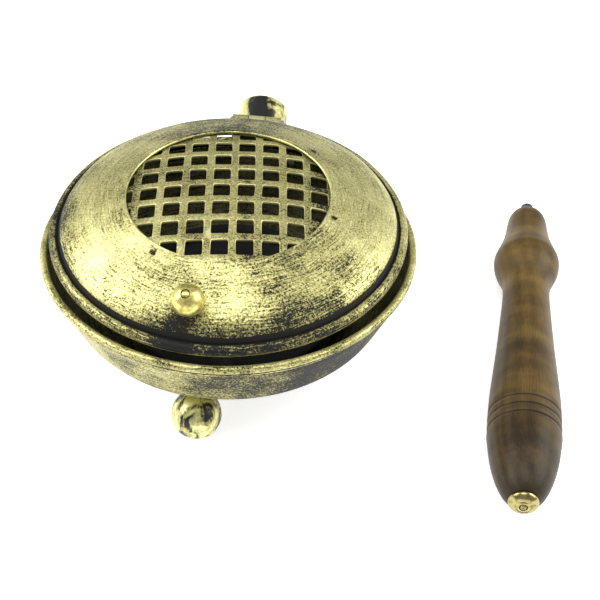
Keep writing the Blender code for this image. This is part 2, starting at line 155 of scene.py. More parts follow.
def add(name, mesh):
    """A new object in the scene, from a mesh or a curve."""
    piece = bpy.data.objects.new(name, mesh)
    bpy.context.scene.collection.objects.link(piece)
    return piece


def tidy_mesh(mesh, sharp=SHARP):
    """Joins points that meet, turns the faces outwards, and shades the mesh smooth up to an angle."""
    work = bmesh.new()
    work.from_mesh(mesh)
    bmesh.ops.remove_doubles(work, verts=work.verts, dist=0.01 * MM)
    bmesh.ops.recalc_face_normals(work, faces=work.faces)
    work.to_mesh(mesh)
    work.free()
    mesh.shade_smooth()
    mesh.set_sharp_from_angle(angle=sharp)


def lathe(name, profile, steps=ROUND, closed=False, wobble=0.0, thread=None, sharp=SHARP):
    """A turned piece. wobble is how far, in mm, hand work leaves it from true, and thread(z, turn) adds
    to the radius."""
    rows = []
    points = []
    for r, z in profile:
        if r < 1e-6:
            rows.append([len(points)])
            points.append((0.0, 0.0, z * MM))
            continue
        rows.append(list(range(len(points), len(points) + steps)))
        for i in range(steps):
            turn = math.tau * i / steps
            out = r + (thread(z, turn) if thread else 0.0)
            spot = Vector((out * math.cos(turn), out * math.sin(turn), z))
            if wobble:
                spot += noise.noise_vector(spot * 0.045) * wobble
            points.append(spot * MM)
    pairs = list(zip(rows, rows[1:]))
    if closed:
        pairs.append((rows[-1], rows[0]))
    faces = []
    for a, b in pairs:
        for i in range(steps):
            j = (i + 1) % steps
            corners = [a[i % len(a)], a[j % len(a)], b[j % len(b)], b[i % len(b)]]
            faces.append(list(dict.fromkeys(corners)))
    mesh = bpy.data.meshes.new(name)
    mesh.from_pydata(points, [], [face for face in faces if len(face) > 2])
    tidy_mesh(mesh, sharp)
    return add(name, mesh)


def stand(piece, origin, direction):
    """Puts a turned piece's foot at a point, in mm, with its local Z along a direction."""
    piece.location = Vector(origin) * MM
    piece.rotation_euler = Vector(direction).to_track_quat("Z", "Y").to_euler()
    return piece


def outline_mesh(name, loops, height, edge):
    """A flat outline with holes in the XY plane, given a height along Z and rounded edges, all in mm."""
    curve = bpy.data.curves.new(name, "CURVE")
    curve.dimensions = "2D"
    curve.fill_mode = "BOTH"
    curve.extrude = (height / 2 - edge) * MM
    curve.bevel_depth = edge * MM
    curve.bevel_resolution = 2
    curve.offset = -edge * MM
    for loop in loops:
        spline = curve.splines.new("POLY")
        spline.points.add(len(loop) - 1)
        spline.use_cyclic_u = True
        for point, (x, y) in zip(spline.points, loop):
            point.co = (x * MM, y * MM, 0.0, 1.0)
    outline = add(name + "_outline", curve)
    graph = bpy.context.evaluated_depsgraph_get()
    mesh = bpy.data.meshes.new_from_object(outline.evaluated_get(graph))
    bpy.data.objects.remove(outline, do_unlink=True)
    mesh.materials.clear()
    return mesh


def prism(name, loops, low, high, edge=0.25):
    """An outline of (y, z) points in mm, from one x to another."""
    mesh = outline_mesh(name, loops, high - low, edge)
    mesh.transform(Matrix(((0, 0, 1, (low + high) / 2 * MM), (1, 0, 0, 0), (0, 1, 0, 0), (0, 0, 0, 1))))
    tidy_mesh(mesh)
    return add(name, mesh)


def trim(piece, point, normal):
    """Cuts away what lies on the normal's side of a plane, and caps the cut."""
    work = bmesh.new()
    work.from_mesh(piece.data)
    everything = work.verts[:] + work.edges[:] + work.faces[:]
    spot = Vector(point) * MM
    done = bmesh.ops.bisect_plane(work, geom=everything, plane_co=spot, plane_no=normal, clear_outer=True)
    rim = [item for item in done["geom_cut"] if isinstance(item, bmesh.types.BMEdge)]
    bmesh.ops.edgenet_fill(work, edges=rim)
    work.to_mesh(piece.data)
    work.free()
    return piece


def joined(name, *pieces):
    """One piece from several, which keep their places."""
    work = bmesh.new()
    for piece in pieces:
        copy = piece.data.copy()
        copy.transform(piece.matrix_basis)
        work.from_mesh(copy)
        bpy.data.objects.remove(piece, do_unlink=True)
    mesh = bpy.data.meshes.new(name)
    work.to_mesh(mesh)
    work.free()
    mesh.shade_smooth()
    mesh.set_sharp_from_angle(angle=SHARP)
    return add(name, mesh)


def attribute(piece, name, value):
    """Stores value(position in local mm) at each point, for the material to read."""
    layer = piece.data.attributes.new(name, "FLOAT", "POINT")
    for vertex in piece.data.vertices:
        layer.data[vertex.index].value = value(vertex.co / MM)


def tilt():
    """The turn, about a line across the lid, that takes the level lid to where it rests."""
    middle = Matrix.Translation((0, 0, LID_TILT_Z * MM))
    return middle @ Matrix.Rotation(LID_TILT, 4, "X") @ middle.inverted()


def finish(piece, body, node, look):
    """Gives a piece its material, and puts it on its body in place of the CAD node."""
    if body == "cover" and node != "lid_hinge_leaf":
        piece.matrix_basis = tilt() @ piece.matrix_basis
    piece.data.materials.clear()
    piece.data.materials.append(look)
    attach(piece, body)
    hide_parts(node)
    return piece


def polar(angle, lean):
    """A direction at an angle round the bowl's axis, leaning outwards from straight up."""
    out = math.sin(lean)
    return Vector((out * math.cos(angle), out * math.sin(angle), math.cos(lean)))


def bump_at(value, centre, width):
    """1 at the centre, falling smoothly to 0 at the width."""
    away = min(abs(value - centre) / width, 1.0)
    return (1 - away * away) ** 2


# ---------------------------------------------------------------- materials

class Graph:
    """A material's nodes, added with short calls that return the new node's output."""

    def __init__(self, name):
        self.material = bpy.data.materials.new(name)
        self.material.use_nodes = True
        self.tree = self.material.node_tree
        self.shader = self.tree.nodes["Principled BSDF"]

    def put(self, socket, value):
        """Links an output to a socket, or sets the socket's own value."""
        if isinstance(value, bpy.types.NodeSocket):
            self.tree.links.new(value, socket)
        elif value is not None:
            socket.default_value = value

    def node(self, kind, *inputs, output=0, **settings):
        made = self.tree.nodes.new("ShaderNode" + kind)
        for key, value in settings.items():
            setattr(made, key, value)
        for socket, value in zip(made.inputs, inputs):
            self.put(socket, value)
        return made.outputs[output]

    def math(self, operation, a, b=None, c=None):
        return self.node("Math", a, b, c, operation=operation)

    def total(self, *terms):
        """A weighted sum of (socket, weight) pairs."""
        made = 0.0
        for socket, weight in terms:
            made = self.node("Math", socket, weight, made, operation="MULTIPLY_ADD")
        return made

    def place(self):
        """The local position in millimetres."""
        spot = self.node("TexCoord", output=3)
        scaled = self.tree.nodes.new("ShaderNodeVectorMath")
        scaled.operation = "SCALE"
        self.put(scaled.inputs[0], spot)
        scaled.inputs["Scale"].default_value = 1 / MM
        return scaled.outputs[0]

    def noise(self, vector, scale, detail=3.0, roughness=0.55, distortion=0.0):
        made = self.tree.nodes.new("ShaderNodeTexNoise")
        self.put(made.inputs["Vector"], vector)
        made.inputs["Scale"].default_value = scale
        made.inputs["Detail"].default_value = detail
        made.inputs["Roughness"].default_value = roughness
        made.inputs["Distortion"].default_value = distortion
        return made.outputs["Fac"]

    def stretched(self, vector, scale):
        made = self.tree.nodes.new("ShaderNodeMapping")
        self.put(made.inputs["Vector"], vector)
        made.inputs["Scale"].default_value = scale
        return made.outputs[0]

    def step(self, value, low, high):
        """0 below low, 1 above high, smooth between."""
        made = self.tree.nodes.new("ShaderNodeMapRange")
        made.interpolation_type = "SMOOTHSTEP"
        self.put(made.inputs["Value"], value)
        made.inputs["From Min"].default_value = low
        made.inputs["From Max"].default_value = high
        return made.outputs[0]

    def between(self, factor, low, high):
        made = self.tree.nodes.new("ShaderNodeMapRange")
        self.put(made.inputs["Value"], factor)
        made.inputs["To Min"].default_value = low
        made.inputs["To Max"].default_value = high
        return made.outputs[0]

    def mix(self, factor, a, b):
        made = self.tree.nodes.new("ShaderNodeMix")
        made.data_type = "RGBA"
        self.put(made.inputs["Factor"], factor)
        self.put(made.inputs[6], (*a, 1.0) if isinstance(a, tuple) else a)
        self.put(made.inputs[7], (*b, 1.0) if isinstance(b, tuple) else b)
        return made.outputs[2]

    def ramp(self, factor, *stops):
        made = self.tree.nodes.new("ShaderNodeValToRGB")
        self.put(made.inputs[0], factor)
        ramp = made.color_ramp
        while len(ramp.elements) < len(stops):
            ramp.elements.new(0.5)
        for element, (position, colour) in zip(ramp.elements, stops):
            element.position = position
            element.color = (*colour, 1.0)
        return made.outputs[0]

    def read(self, name):
        made = self.tree.nodes.new("ShaderNodeAttribute")
        made.attribute_name = name
        return made.outputs["Fac"]

    def around(self, vector, often, rises, outs):
        """A position wrapped round local Z: a point on a circle, and a height that runs down the surface."""
        flat = self.node("VectorMath", vector, (1, 1, 0), operation="MULTIPLY")
        ring = self.node("VectorMath", flat, operation="NORMALIZE")
        radius = self.node("VectorMath", flat, output=1, operation="LENGTH")
        parts = self.tree.nodes.new("ShaderNodeSeparateXYZ")
        self.put(parts.inputs[0], vector)
        turned = self.tree.nodes.new("ShaderNodeSeparateXYZ")
        self.put(turned.inputs[0], ring)
        down = self.total((parts.outputs[2], rises), (radius, outs))
        x = self.math("MULTIPLY", turned.outputs[0], often)
        y = self.math("MULTIPLY", turned.outputs[1], often)
        return self.node("CombineXYZ", x, y, down)

    def surface(self, **values):
        for key, value in values.items():
            socket = self.shader.inputs[key.replace("_", " ")]
            self.put(socket, (*value, 1.0) if isinstance(value, tuple) and len(value) == 3 else value)

    def bump(self, height, depth):
        made = self.tree.nodes.new("ShaderNodeBump")
        made.inputs["Strength"].default_value = 1.0
        made.inputs["Distance"].default_value = depth * MM
        self.put(made.inputs["Height"], height)
        self.put(self.shader.inputs["Normal"], made.outputs[0])


PALE_GOLD = (0.86, 0.82, 0.39)
DEEP_GOLD = (0.33, 0.305, 0.10)
BLUE_BLACK = (0.010, 0.011, 0.010)
BROWN_BLACK = (0.014, 0.012, 0.006)
SOOT_AND_SHADE_BLACK = (0.010, 0.009, 0.005)


def brushed_gold(name, cover=0.0, strokes=0.38, specks=0.75, often=5.0, rises=-2.2, outs=2.2, patch=0.28):
    """Gold rubbed over black: strokes run round the piece, broken up by specks and by larger bare patches.

    The points' own cover value adds gold on edges and takes it away in hollows, and on some pieces it
    holds painted highlights and painted shade; a second value blackens the paint, which inside the bowl
    and under the lid is painted shade."""
    g = Graph(name)
    place = g.place()
    lean = g.noise(place, 0.06, 2.0)
    wrapped = g.around(place, often, rises, outs)
    bent = g.node("VectorMath", wrapped, g.node("CombineXYZ", 0.0, 0.0, g.math("MULTIPLY", lean, 9.0)),
                  operation="ADD")
    stroke = g.noise(bent, 1.0, 5.0, 0.62)
    speck = g.noise(place, 1.5, 6.0, 0.78)
    patches = g.noise(place, 0.07, 3.0, 0.6)
    score = g.total((stroke, strokes), (speck, specks), (patches, patch), (g.read("cover"), 0.30))
    level = 0.5 * (strokes + specks + patch) - 0.12 * cover
    mask = g.step(score, level - 0.05, level + 0.04)
    tone = g.step(score, level - 0.02, level + 0.24)
    gold = g.mix(tone, DEEP_GOLD, PALE_GOLD)
    under = g.mix(g.step(patches, 0.42, 0.6), BLUE_BLACK, BROWN_BLACK)
    soot_and_shade_amount = g.read("soot_and_shade")
    paint = g.mix(soot_and_shade_amount, g.mix(mask, under, gold), SOOT_AND_SHADE_BLACK)
    clean = g.math("MULTIPLY", mask, g.math("SUBTRACT", 1.0, soot_and_shade_amount))
    g.surface(Base_Color=paint, Metallic=g.between(clean, 0.0, 0.80), Roughness=g.between(clean, 0.52, 0.42),
              Specular_IOR_Level=g.between(clean, 0.16, 0.5))
    g.bump(g.total((mask, 0.6), (stroke, 0.5), (speck, 0.4)), 0.10)
    return g.material


def daubed_gold(name, scale=0.16, level=0.5, turn=(0.0, 0.0, 0.0)):
    """Thick gold daubs with firm edges over black gloss."""
    g = Graph(name)
    spot = g.node("VectorMath", g.place(), turn, operation="ADD")
    daub = g.noise(g.stretched(spot, (1.0, 1.0, 0.6)), scale, 3.0, 0.55, 0.8)
    speck = g.noise(spot, 1.1, 5.0, 0.7)
    score = g.total((daub, 1.0), (speck, 0.22), (g.read("cover"), 0.25))
    mask = g.step(score, level + 0.06, level + 0.15)
    gold = g.mix(g.step(score, level + 0.08, level + 0.28), DEEP_GOLD, PALE_GOLD)
    g.surface(Base_Color=g.mix(mask, BLUE_BLACK, gold), Metallic=g.between(mask, 0.0, 0.8),
              Roughness=g.between(mask, 0.34, 0.4), Specular_IOR_Level=g.between(mask, 0.35, 0.5))
    g.bump(g.total((mask, 0.7), (speck, 0.3)), 0.12)
    return g.material


def smooth_gold(name):
    """The knob's and the plain fittings' even gold, with a little dirt; on the knob, the points' cover value
    also darkens the ball's underside as painted shade.
    """
    g = Graph(name)
    place = g.place()
    dirt_and_shade = g.noise(place, 0.5, 4.0, 0.6)
    score = g.total((dirt_and_shade, 1.0), (g.read("cover"), -0.3))
    colour = g.ramp(score, (0.40, (0.78, 0.70, 0.25)), (0.58, (0.50, 0.43, 0.11)),
                    (0.74, (0.08, 0.07, 0.03)))
    g.surface(Base_Color=colour, Metallic=0.85, Roughness=g.between(dirt_and_shade, 0.24, 0.42))
    g.bump(g.noise(place, 1.6, 4.0), 0.05)
    return g.material


def worn_steel(name, colour=(0.34, 0.33, 0.29), roughness=0.36):
    """Stained steel, brassy where the points' own brassy value says so."""
    g = Graph(name)
    place = g.place()
    fine = g.noise(g.around(place, 3.0, 5.0, 5.0), 1.0, 4.0)
    stain = g.noise(place, 0.4, 4.0, 0.65)
    dark = tuple(part * 0.35 for part in colour)
    steel = g.mix(g.step(stain, 0.4, 0.62), dark, colour)
    g.surface(Base_Color=g.mix(g.read("brassy"), steel, (0.34, 0.29, 0.12)), Metallic=0.9,
              Roughness=g.between(stain, roughness - 0.1, roughness + 0.2))
    g.bump(fine, 0.03)
    return g.material


def polished_brass(name):
    """Brass with faint turning rings and a little tarnish."""
    g = Graph(name)
    place = g.place()
    ring = g.noise(g.around(place, 1.0, 6.0, 6.0), 1.0, 3.0)
    tarnish = g.noise(place, 0.7, 3.0)
    g.surface(Base_Color=g.mix(g.step(tarnish, 0.45, 0.7), (0.42, 0.36, 0.15), (0.22, 0.18, 0.06)),
              Metallic=1.0, Roughness=g.between(tarnish, 0.16, 0.30))
    g.bump(ring, 0.02)
    return g.material


def soot_and_shade(name):
    """Matt black with paler patches of ash; on the knob's collar this black is painted shade."""
    g = Graph(name)
    place = g.place()
    grain = g.noise(place, 1.3, 5.0, 0.7)
    ash = g.noise(place, 0.12, 4.0, 0.6)
    g.surface(Base_Color=g.mix(g.step(ash, 0.50, 0.75), (0.010, 0.009, 0.008), (0.040, 0.036, 0.030)),
              Metallic=0.1, Roughness=g.between(grain, 0.6, 0.9))
    g.bump(grain, 0.15)
    return g.material


def walnut(name):
    """Stained, turned wood: growth rings cut on the slant, pores along the grain, and lathe marks."""
    g = Graph(name)
    place = g.place()
    parts = g.tree.nodes.new("ShaderNodeSeparateXYZ")
    g.put(parts.inputs[0], place)
    sway = g.noise(g.stretched(place, (1.0, 1.0, 0.35)), 0.07, 3.0, 0.5)
    flat = g.node("VectorMath", place, (1, 1, 0), operation="MULTIPLY")
    off_centre = g.node("VectorMath", flat, (-21.0, 13.0, 0.0), operation="ADD")
    radius = g.node("VectorMath", off_centre, output=1, operation="LENGTH")
    rings = g.total((radius, 0.34), (parts.outputs[2], 0.018), (sway, 2.6))
    ripple = g.math("SINE", g.math("MULTIPLY", rings, 4.6))
    figure = g.noise(g.stretched(place, (0.5, 0.5, 1.0)), 0.085, 3.0, 0.55)
    fibre = g.noise(g.stretched(place, (3.0, 3.0, 0.12)), 1.0, 5.0, 0.6)
    tone = g.total((ripple, 0.026), (figure, 0.55), (fibre, 0.26), (parts.outputs[2], 0.0005))
    tone = g.math("ADD", tone, 0.04)
    tone = g.math("ADD", tone, g.read("cover"))
    colour = g.ramp(tone, (0.28, (0.022, 0.013, 0.004)), (0.44, (0.070, 0.043, 0.011)),
                    (0.56, (0.125, 0.078, 0.020)), (0.72, (0.22, 0.138, 0.035)))
    marks = g.noise(g.around(place, 0.7, 3.0, 0.0), 1.0, 3.0)
    g.surface(Base_Color=colour, Roughness=g.between(fibre, 0.42, 0.58), Specular_IOR_Level=0.22,
              Coat_Weight=0.07, Coat_Roughness=0.2)
    g.bump(g.total((fibre, 0.5), (marks, 0.5)), 0.06)
    return g.material


# ---------------------------------------------------------------- the burner

def make_bowl():
    bead_at = (RIM_R - LIP_R, RIM_Z - LIP_R)
    bead = arc(bead_at, LIP_R, 215, -70, 26)
    crease = [(63.35, 28.72), (63.25, 28.45), (63.45, 28.2)]
    wall = smooth(WALL + FLANK, 5)
    inside = inward(wall, SHEET)[::-1]
    profile = [(0.0, SHEET), (18.0, SHEET)] + inside + bead + crease + wall + [(18.0, 0.0), (0.0, 0.0)]
    bowl = lathe("bowl_shell", profile, wobble=0.10)

    def cover(spot):
        r = math.hypot(spot.x, spot.y)
        lip = bump_at(math.hypot(r - bead_at[0], spot.z - bead_at[1]), 1.0, 1.1)
        dent = -2.2 * bump_at(spot.z, 28.5, 0.5) * (1.0 if r < 63.9 else 0.0)
        # Painted shade: the outer wall is darker towards the front right, below the lip.
        side = math.atan2(spot.y, spot.x)
        shade = -0.42 * bump_at(side, -0.8, 1.2) * (1.0 if spot.z < 27.5 else 0.0)
        return 0.05 * lip + dent + shade

    # Painted shade: the inside of the bowl is blackened.
    def painted_inside_shade(spot):
        r = math.hypot(spot.x, spot.y)
        if spot.z > 0.6 and r < min(wall_radius(spot.z) - 0.5, 62.6):
            return 0.78
        return 0.0

    attribute(bowl, "cover", cover)
    attribute(bowl, "soot_and_shade", painted_inside_shade)
    look = brushed_gold("bowl_paint", cover=0.30, rises=2.6, outs=0.4)
    finish(bowl, "burner", "bowl", look)


def wall_radius(height):
    """Outer radius of the bowl's wall at a height."""
    outline = WALL + FLANK
    for (r0, z0), (r1, z1) in zip(outline, outline[1:]):
        if z1 <= height <= z0:
            return r0 + (r1 - r0) * (height - z0) / (z1 - z0)
    return outline[0][0] if height > outline[0][1] else outline[-1][0]


def make_foot(name, number):
    angle = -math.pi / 2 - FOOT_TURN + number * math.tau / 3
    centre = Vector((FOOT_OUT * math.cos(angle), FOOT_OUT * math.sin(angle), FOOT_Z))
    up = polar(angle + math.pi, FOOT_LEAN)
    high = math.degrees(math.acos(1.6 / FOOT_R))
    mouth = FOOT_R * math.sin(math.radians(high))
    ball = [(0.0, mouth - 7), (1.6, mouth - 7)] + arc((0, 0), FOOT_R, high, -90, 40)
    foot = stand(lathe("foot_ball_" + name, ball, SMALL_ROUND), centre, up)
    bpy.context.view_layer.update()
    flat = foot.matrix_world.inverted() @ (Vector((0, 0, FLOOR_Z)) * MM)
    down = foot.matrix_world.to_3x3().inverted() @ Vector((0, 0, -1))
    trim(foot, flat / MM, down)
    attribute(foot, "cover", lambda spot: 0.0)
    look = daubed_gold("foot_paint_" + name, 0.19, 0.46, (number * 37.0, 11.0, 5.0))
    finish(foot, "burner", "foot_" + name, look)
    dome = [(0.0, 11.75), (0.8, 11.7), (1.6, 11.5), (2.3, 11.1), (2.75, 10.6), (2.8, 10.35)]
    shank = [(1.3, 10.35), (1.3, 1.9), (0.0, 1.9)]
    rivet = stand(lathe("foot_rivet_end_" + name, dome + shank, 40), centre, up)
    finish(rivet, "burner", "foot_rivet_" + name, STEEL)


def make_pan():
    low = SHEET + 0.3
    outside = smooth([(40.6, low + 5.2), (39.2, low + 4.0), (38.2, low + 2.4), (37.5, low + 0.6),
                      (36.5, low)])
    inside = [(0.0, low + 0.8), (18.0, low + 0.8)] + inward(outside, 0.8)[::-1]
    pan = lathe("ember_dish", inside + outside + [(18.0, low), (0.0, low)], 128, wobble=0.12)
    finish(pan, "pan", "ember_pan", soot_and_shade("soot_and_shade"))


def make_bracket():
    """The saddle on the back wall, bent to it, with the neck and the two knuckles of the hinge."""
    low, high, half, corner = RIM_Z - 22.0, RIM_Z - 3.6, 17.4, 3.5
    rows, columns = 16, 24
    points = []
    for row in range(rows + 1):
        z = low + (high - low) * row / rows
        near = min(z - low, high - z, corner)
        wide = half - corner + math.sqrt(max(corner ** 2 - (corner - near) ** 2, 0.0))
        for column in range(columns + 1):
            x = wide * (2 * column / columns - 1)
            r = wall_radius(z) + 0.4
            points.append(Vector((x, math.sqrt(r * r - x * x), z)) * MM)
    stride = columns + 1
    faces = [(a, a + 1, a + 1 + stride, a + stride)
             for row in range(rows) for a in range(row * stride, row * stride + columns)]
    mesh = bpy.data.meshes.new("saddle")
    mesh.from_pydata(points, [], faces)
    saddle = add("saddle", mesh)
    thick = saddle.modifiers.new("Thickness", "SOLIDIFY")
    thick.thickness = 1.5 * MM
    thick.offset = -1.0
    bevel = saddle.modifiers.new("Edges", "BEVEL")
    bevel.width = 0.3 * MM
    bevel.segments = 3
    graph = bpy.context.evaluated_depsgraph_get()
    saddle.data = bpy.data.meshes.new_from_object(saddle.evaluated_get(graph))
    saddle.modifiers.clear()
    tidy_mesh(saddle.data)

    ring = arc((HINGE.y, HINGE.z), KNUCKLE_R, 230, -60, 36)
    back = [(67.9, RIM_Z - 1.0), (66.9, RIM_Z - 3.2), (65.2, RIM_Z - 7.8)]
    front = [(63.9, RIM_Z - 7.8), (65.3, RIM_Z - 3.4), (65.9, RIM_Z - 2.0)]
    hole = arc((HINGE.y, HINGE.z), PIN_HOLE_R, 0, -350, 30)
    left = prism("neck_left", [ring + back + front, hole], -9.5, -3.3)
    right = prism("neck_right", [ring + back + front, hole], 3.3, 9.5)
    web = trim(prism("neck_web", [ring + back + front], -3.6, 3.6, 0.05), (0, 0, HINGE.z - 2.8), UP)
    bracket = joined("hinge_saddle", saddle, left, right, web)
    attribute(bracket, "cover", lambda spot: 0.1)
    attribute(bracket, "soot_and_shade", lambda spot: 0.5)
    look = brushed_gold("bracket_paint", cover=0.6, rises=2.4, outs=1.0)
    finish(bracket, "burner", "hinge_bracket", look)
    slope = math.atan2(62.8 - 57.5, 25.5 - 13.5)
    for side, name in ((-1, "left"), (1, "right")):
        for level, height in (("upper", RIM_Z - 7.5), ("lower", RIM_Z - 17.0)):
            angle = math.pi / 2 - side * math.radians(13)
            radius = wall_radius(height)
            seat = Vector((radius * math.cos(angle), radius * math.sin(angle), height))
            make_rivet(f"bracket_rivet_{level}_{name}", seat, polar(angle, math.pi / 2 + slope))


def make_rivet(node, seat, out):
    head = [(0.0, 3.5), (0.6, 3.45), (1.2, 3.3), (1.7, 3.0), (2.1, 2.6), (2.2, 2.4), (1.2, 2.4)]
    tail = [(1.2, -1.5), (2.2, -1.5), (2.1, -1.9), (1.5, -2.3), (0.0, -2.4)]
    rivet = stand(lathe(node + "_heads", head + tail, 32), seat, out)
    finish(rivet, "burner", node, STEEL)


def make_pin():
    half = 9.5
    head = [(0.0, half + 1.3), (0.7, half + 1.25), (1.3, half + 1.0), (1.7, half + 0.5),
            (1.7, half + 0.3)]
    tail = [(1.0, half + 0.3), (1.0, -half - 0.3), (1.5, -half - 0.3), (1.4, -half - 0.8),
            (0.0, -half - 1.2)]
    pin = stand(lathe("pin", head + tail, 40), HINGE, (1, 0, 0))
    finish(pin, "burner", "hinge_pin", STEEL)


def make_socket():
    """The tube: each line along it runs from the rounded mouth to the saddle, wherever it meets it."""
    along = Vector((0, -math.cos(SOCKET_RISE), -math.sin(SOCKET_RISE)))
    inner = [(SOCKET_BORE_R, z) for z in (SOCKET_DRAWN, 20.0, 8.0, SOCKET_ROUNDED, 0.35)]
    mouth = [(8.95, 0.1), (9.25, 0.0), (9.5, 0.1), (9.72, 0.4)]
    outer = [(SOCKET_OUTER_R, z) for z in (0.9, 8.0, 20.0, SOCKET_DRAWN)]
    tube = lathe("socket_pipe", inner + mouth + outer, 96, closed=True)
    stand(tube, SOCKET_MOUTH, along)
    matrix = tube.matrix_basis
    for vertex in tube.data.vertices:
        if vertex.co.z < 5 * MM:
            continue
        share = (vertex.co.z / MM - SOCKET_ROUNDED) / (SOCKET_DRAWN - SOCKET_ROUNDED)
        side = Vector((vertex.co.x, vertex.co.y, 0))
        reach = SOCKET_ROUNDED
        while reach < SOCKET_LONG:
            spot = matrix @ (side + UP * reach * MM) / MM
            if math.hypot(spot.x, spot.y) < wall_radius(spot.z) + 2.4:
                break
            if spot.z > RIM_Z - 8 and math.hypot(spot.x, spot.y) < 69.0:
                break
            reach += 0.1
        vertex.co.z = (SOCKET_ROUNDED + share * (reach - SOCKET_ROUNDED)) * MM
    tidy_mesh(tube.data)

    # Painted reflection: more gold along the tube's sides and less along its top and bottom; also more gold
    # round the mouth.
    def painted_reflection_and_rim(spot):
        side = abs(spot.x)
        return (0.8 * bump_at(spot.z, 0.0, 1.0) + 0.6 * bump_at(side, 7.0, 4.0)
                - 0.5 * bump_at(side, 0.0, 3.5))

    attribute(tube, "cover", painted_reflection_and_rim)
    look = daubed_gold("socket_paint", 0.13, 0.5, (13.0, 4.0, 9.0))
    finish(tube, "burner", "socket_tube", look)
    ring = [(2.8, 16.5), (8.45, 16.5), (8.45, 12.2), (8.25, 12.0), (3.2, 12.0), (2.8, 12.35)]
    nut = stand(lathe("socket_nut_plate", ring, SMALL_ROUND, closed=True), SOCKET_MOUTH, along)
    finish(nut, "burner", "socket_nut", STEEL)


# ---------------------------------------------------------------- the lid

def make_lid():
    dome = smooth([(r, RIM_Z + z) for r, z in DOME + DOME_FOOT], 6)
    edge = arc((OPEN_R + 0.5, RIM_Z + OPEN_Z - 0.5), 0.5, 235, 75, 8)
    bead = arc((BEAD_R, BEAD_Z), BEAD, 130, -150, 36)
    under = inward(dome, SHEET)[::-1]
    neck = [(57.1, RIM_Z + 6.0)]
    lid = lathe("lid_shell", edge + dome + bead + neck + under[4:-1], closed=True, wobble=0.12)
    welds = [(37.4, -121.0), (37.0, -11.5), (38.2, 47.5)]

    def cover(spot):
        r = math.hypot(spot.x, spot.y)
        z = spot.z - RIM_Z
        turn = math.degrees(math.atan2(spot.y, spot.x))
        value = 0.35 * bump_at(r, OPEN_R, 0.7)
        value -= 2.6 * bump_at(r, 57.9, 1.1) * bump_at(z, 7.9, 1.8)
        value -= 0.25 * bump_at(r, 60.4, 2.2) * bump_at(z, 6.4, 1.6)
        # Painted highlight: a band of full gold along the bead's lower outer side.
        value += 2.4 * bump_at(z, 4.5, 0.8) * (1.0 if r > 60.2 else 0.0)
        value -= 0.42 * bump_at(math.hypot((turn + 96.5) * 0.8, (r - 54.3)), 0.0, 6.0)
        value -= 0.5 * bump_at(math.hypot((turn + 97.5) * 0.7, (r - 60.2) * 1.2), 0.0, 6.0)
        for weld_r, weld_turn in welds:
            away = math.hypot(r - weld_r, (turn - weld_turn) * weld_r * math.pi / 180)
            value -= 1.3 * bump_at(away, 0.0, 1.3)
        # Painted highlights and painted shade: lighter towards the left front and the right, darker towards
        # the front, the front right, the back and the outer left.
        value += 0.16 * bump_at(turn, -155, 50) * bump_at(r, 46, 13)
        value -= 0.26 * bump_at(turn, -80, 60) * bump_at(r, 57, 9)
        value -= 0.10 * bump_at(turn, -45, 40) + 0.24 * bump_at(turn, 95, 50)
        value += 0.12 * bump_at(turn, 8, 38)
        value -= 0.34 * (bump_at(turn, 178, 30) + bump_at(turn, -182, 30)) * bump_at(r, 57, 9)
        return value

    # Painted shade: the lid's underside and its low neck inside the bowl are blackened.
    def painted_underside_shade(spot):
        low = spot.z - RIM_Z < 4.4 and math.hypot(spot.x, spot.y) < 59.5
        return 1.0 if low or spot.z < lid_height(math.hypot(spot.x, spot.y)) - 0.5 else 0.0

    attribute(lid, "cover", cover)
    attribute(lid, "soot_and_shade", painted_underside_shade)
    for vertex in lid.data.vertices:
        spot = vertex.co / MM
        if spot.z < RIM_Z + 12:
            continue
        for weld_r, weld_turn in welds:
            turn = math.radians(weld_turn)
            away = math.hypot(spot.x - weld_r * math.cos(turn), spot.y - weld_r * math.sin(turn))
            vertex.co.z -= 0.35 * bump_at(away, 0.0, 1.5) * MM
    finish(lid, "cover", "lid", brushed_gold("lid_paint", cover=0.48))


def lid_height(radius):
    """Height of the level lid's outer face at a radius."""
    outline = [(r, RIM_Z + z) for r, z in DOME]
    for (r0, z0), (r1, z1) in zip(outline, outline[1:]):
        if r0 <= radius <= r1:
            return z0 + (z1 - z0) * (radius - r0) / (r1 - r0)
    return 0.0


def grille_top(radius):
    """Height of the grille's upper face: a shallow dome that tucks in under the lid's opening."""
    dome = GRILLE_CROWN - GRILLE_BOW * radius * radius
    slope = (OPEN_Z - 18.8) / (39.0 - OPEN_R)
    tuck = RIM_Z + OPEN_Z - slope * (radius - OPEN_R) - SHEET - 0.4
    return min(dome, tuck)


def hole_outline(column, row):
    """A square hole with rounded corners, a little uneven, clipped to the grille's open round."""
    u = HOLE_START[0] + column * HOLE_PITCH[0]
    v = HOLE_START[1] + row * HOLE_PITCH[1]
    loop = []
    for x, y in ((1, 1), (-1, 1), (-1, -1), (1, -1)):
        jitter = noise.noise_vector(Vector((column * 3.1 + x, row * 2.7 + y, 4.0)))
        corner = Vector((u + x * HOLE_HALF[0] + 0.28 * jitter.x, v + y * HOLE_HALF[1] + 0.22 * jitter.y))
        corner.y -= 0.9 * max((corner.x - 14.0) / 20.0, 0.0) ** 2
        turn = math.atan2(y, x)
        centre = corner - Vector((x, y)) * 0.55
        for step in (-1, 0, 1):
            angle = turn + step * math.pi / 5
            loop.append(centre + Vector((math.cos(angle), math.sin(angle))) * 0.62)
    return clip_round(loop)


